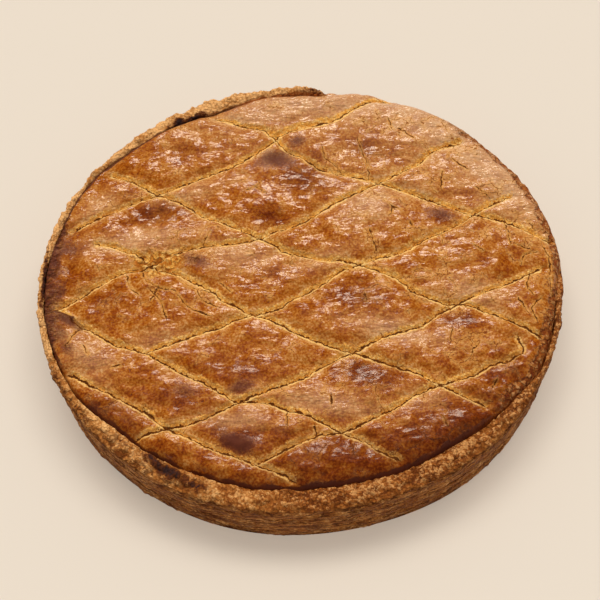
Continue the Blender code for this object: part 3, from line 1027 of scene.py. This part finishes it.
def crust_material(crumb, mottle):
    material, build, surface = new_material("baked crust", CRUST_BROWN)
    place = build.millimetres()
    x, y, _ = build.parts(place)
    grain_far, wall, charred = build.mark("crumb")
    uneven = build.group(mottle, {"Place": place, "Size": 7.0, "Fine": 1.3})
    grit = build.group(crumb, {"Place": place, "Size": 1.3})

    # Paler at the back and the left, and most of all on the rim there, with pale specks.
    pale = build.ease(build.total(((x, -0.95), (y, 0.45))), -75.0, 75.0)
    # The gaps between grains are darkened: painted shade.
    tone = build.total(((pale, 0.64), (wall, 0.24), (grit["Grain"], 0.36),
                        (build.times(pale, wall), -0.58),
                        (uneven["Grain"], 0.20), (uneven["Patch"], 0.36),
                        (build.times(grit["Gap"], wall), 0.10), (grit["Gap"], -0.22),
                        (build.ease(grain_far, 0.40, 0.7), -0.12)), -0.08)
    colour = build.ramp(tone, ((0.0, CRUST_DARK), (0.33, CRUST_BROWN),
                               (0.62, CRUST_GOLD), (0.95, CRUST_PALE)))
    speck = build.ease(build.total(((grit["Grain"], 0.8), (uneven["Grain"], 0.35),
                                    (uneven["Patch"], 0.25), (wall, -0.5))),
                       0.70, 0.98, 0.0, 0.5)
    colour = build.mix(speck, colour, CRUST_PALE)

    # Painted shade in the crevices between level layers in the wall: contour lines of noise
    # that is drawn out sideways.
    drawn = build.add("Mapping", {"Vector": build.bend(place, 0.12, 2.0, 4.0),
                                  "Scale": (0.09, 0.09, 0.90)}).outputs[0]
    contour = build.total(((build.noise(drawn, 1.0, 3.0, 0.6), 1.0),), -0.5)
    layer_crevice_shade = build.times(build.ease(build.math("ABSOLUTE", contour), 0.06, 0.01), wall)
    colour = build.mix(build.times(layer_crevice_shade, 0.85), colour, CRUST_DARK)
    char = build.total(((charred, 1.0), (grit["Grain"], 0.7)), -0.35)
    colour = build.mix(build.ease(char, 0.15, 0.6), colour, CRUST_DARK)
    colour = build.mix(build.ease(char, 0.45, 1.0), colour, CHAR)

    rough = build.ease(uneven["Grain"], 0.0, 1.0, 0.62, 0.85)
    height = build.total(((grit["Height"], 0.8), (layer_crevice_shade, -0.8)))
    finish_surface(build, surface, colour, rough, height, 0.9)
    surface["Specular IOR Level"].default_value = 0.2
    return material


# ------------------------------------------------------------------ studio

FLOOR_SIZE = 6.0     # metres
FLOOR_COLOUR = (0.650, 0.561, 0.458, 1.0)
FLOOR_GLOW = 0.14
ROOM_LIGHT = 0.40
WHITE = (1.0, 1.0, 1.0)
WARM = (1.0, 0.91, 0.76)
# Name, azimuth, elevation, angle that the light fills, strength, colour, casts shadows.
BODY_LIGHTS = (("right key light", 42.0, 66.0, 30.0, 0.70, WHITE, True),
               ("left key light", 118.0, 70.0, 30.0, 0.85, WHITE, True),
               ("low light", 102.0, 40.0, 10.0, 1.5, WHITE, False))
SHEEN_LIGHT = ("sheen light", 88.0, 34.0, 16.0, 0.80, WARM, True)

# The camera fitted to the photo: degrees, millimetres, and focal length in pixels.
ELEVATION = 53.30
DISTANCE = 880.0
TARGET = (-0.37, -8.64, 27.5)
ROLL = 3.06
FOCAL_PIXELS = 2114.1
PICTURE_WIDTH = 600.0
SENSOR = 36.0
CLIP_RANGE = (0.05, 50.0)


def make_floor():
    """A pale floor that glows a little, so that shadows on it stay light."""
    deselect_all()
    bpy.ops.mesh.primitive_plane_add(size=FLOOR_SIZE)
    floor = bpy.context.object
    floor.name = "floor"
    material, build, surface = new_material("pale floor", FLOOR_COLOUR)
    build.fill(surface, {"Base Color": FLOOR_COLOUR, "Roughness": 1.0,
                         "Specular IOR Level": 0.0, "Emission Color": FLOOR_COLOUR,
                         "Emission Strength": FLOOR_GLOW})
    floor.data.materials.append(material)


def add_sun(name, azimuth, elevation, spread, strength, colour, shadow):
    """A wide, soft light from a direction."""
    lamp = bpy.data.lights.new(name, "SUN")
    lamp.energy, lamp.angle = strength, math.radians(spread)
    lamp.color, lamp.use_shadow = colour, shadow
    sun = bpy.data.objects.new(name, lamp)
    bpy.context.scene.collection.objects.link(sun)
    a, e = math.radians(azimuth), math.radians(elevation)
    toward = Vector((math.cos(a) * math.cos(e), math.sin(a) * math.cos(e), math.sin(e)))
    sun.rotation_euler = toward.to_track_quat("Z", "Y").to_euler()
    return sun


def make_studio():
    """Lights for the body of colour, which leave the glaze alone, and one for its sheen."""
    scene = bpy.context.scene
    scene.view_settings.view_transform = "Standard"
    scene.world = world = bpy.data.worlds.new("studio")
    world.use_nodes = True
    Tree(world.node_tree).fill(world.node_tree.nodes["Background"].inputs,
                               {"Color": (*WHITE, 1.0), "Strength": ROOM_LIGHT})
    world.cycles_visibility.glossy = False
    for light in BODY_LIGHTS:
        add_sun(*light).visible_glossy = False
    add_sun(*SHEEN_LIGHT).visible_diffuse = False


def make_camera():
    data = bpy.data.cameras.new("camera")
    camera = bpy.data.objects.new("camera", data)
    bpy.context.scene.collection.objects.link(camera)
    data.sensor_width = SENSOR
    data.lens = FOCAL_PIXELS / PICTURE_WIDTH * SENSOR
    data.clip_start, data.clip_end = CLIP_RANGE
    e = math.radians(ELEVATION)
    right, back = Vector((1.0, 0.0, 0.0)), Vector((0.0, -math.cos(e), math.sin(e)))
    turn = Matrix((right, back.cross(right), back)).transposed()
    turn = turn @ Matrix.Rotation(math.radians(-ROLL), 3, "Z")
    camera.matrix_world = Matrix.Translation((Vector(TARGET) + DISTANCE * back) * MM) \
        @ turn.to_4x4()
    bpy.context.scene.camera = camera


crumb_group, patch_group = torn_crumb_group(), mottle_group()
make_lid(glazed_material(crumb_group, patch_group))
make_crust(crust_material(crumb_group, patch_group))
make_floor()
make_studio()
make_camera()
